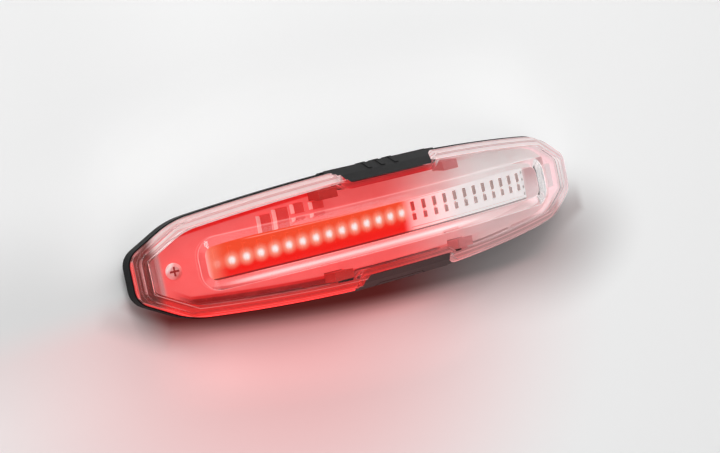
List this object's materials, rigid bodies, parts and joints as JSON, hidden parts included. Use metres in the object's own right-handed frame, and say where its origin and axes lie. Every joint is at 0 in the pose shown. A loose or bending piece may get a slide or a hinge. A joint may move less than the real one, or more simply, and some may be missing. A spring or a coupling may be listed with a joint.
{
  "type": "helmet tail light",
  "caption": "Arched bar-shaped rechargeable red tail light with a clear stepped cover, an LED strip, a port flap, a press pad and a rail back.",
  "frame": {"origin": "middle of the light in the plane of the rail feet on the back", "axes": "+X along the light towards its unlit end in the picture, +Y across it towards the charging port, +Z out of the lens"},
  "size_m": [0.112, 0.0258, 0.02],
  "materials": {
    "clear_plastic": "clear moulded polycarbonate, polished",
    "seal_rubber": "soft, matt",
    "black_plastic": "finely grained black moulding",
    "white_board": "white solder resist",
    "steel_screw": "plated",
    "strip_board": "white solder resist under clear coating",
    "led_lit": "red LED dies, lit",
    "led_dark": "red LED dies, unlit",
    "chip_resistor": "dark ceramic with tinned ends",
    "ceramic": "ceramic with tinned ends",
    "green_board": "green solder resist",
    "chip_black": "moulded epoxy",
    "ferrite": "sintered",
    "battery_wrap": "foil pouch",
    "foam": "soft foam",
    "tin_sheet": "tinned sheet",
    "pad_rubber": "matt black silicone",
    "switch_white": "white moulding",
    "gold_pins": "gold plated"
  },
  "bodies": {
    "light": {"rear_housing": "black_plastic", "front_cover": "clear_plastic", "button_frame": "pad_rubber", "cover_seal": "seal_rubber", "led_board": "white_board", "board_screw": "steel_screw", "led_strip": "strip_board", "lit_led_chips": "led_lit", "unlit_led_chips": "led_dark", "strip_resistors": "chip_resistor", "front_capacitors": "ceramic", "main_board": "green_board", "charge_controller": "chip_black", "light_controller": "chip_black", "inductor": "ferrite", "charge_led": "led_dark", "board_capacitors": "ceramic", "board_resistors": "chip_resistor", "battery": "battery_wrap", "battery_foam": "foam", "battery_tab_plus": "tin_sheet", "battery_tab_minus": "tin_sheet", "usb_socket": "tin_sheet", "usb_tongue": "chip_black", "switch_body": "chip_black", "switch_plate": "tin_sheet", "link_pins": "gold_pins"},
    "port_flap": {"usb_cover": "pad_rubber"},
    "button": {"power_button": "pad_rubber"},
    "plunger": {"switch_plunger": "switch_white"}
  },
  "joints": [
    {"name": "port_flap_hinge", "type": "hinge", "parent": "light", "child": "port_flap", "pos_m": [-0.01455, 0.01195, 0.012], "axis": [0, 0, 1], "range_deg": [0, 100]},
    {"name": "button_press", "type": "slide", "parent": "light", "child": "button", "axis": [0, 1, 0], "range_m": [0, 0.0005], "stiffness_N_per_m": 2500},
    {"name": "plunger_press", "type": "slide", "parent": "light", "child": "plunger", "axis": [0, 1, 0], "range_m": [0, 0.00025]}
  ],
  "couplings": [
    {"joint": "plunger_press", "follows": "button_press", "ratio": 0.5}
  ]
}
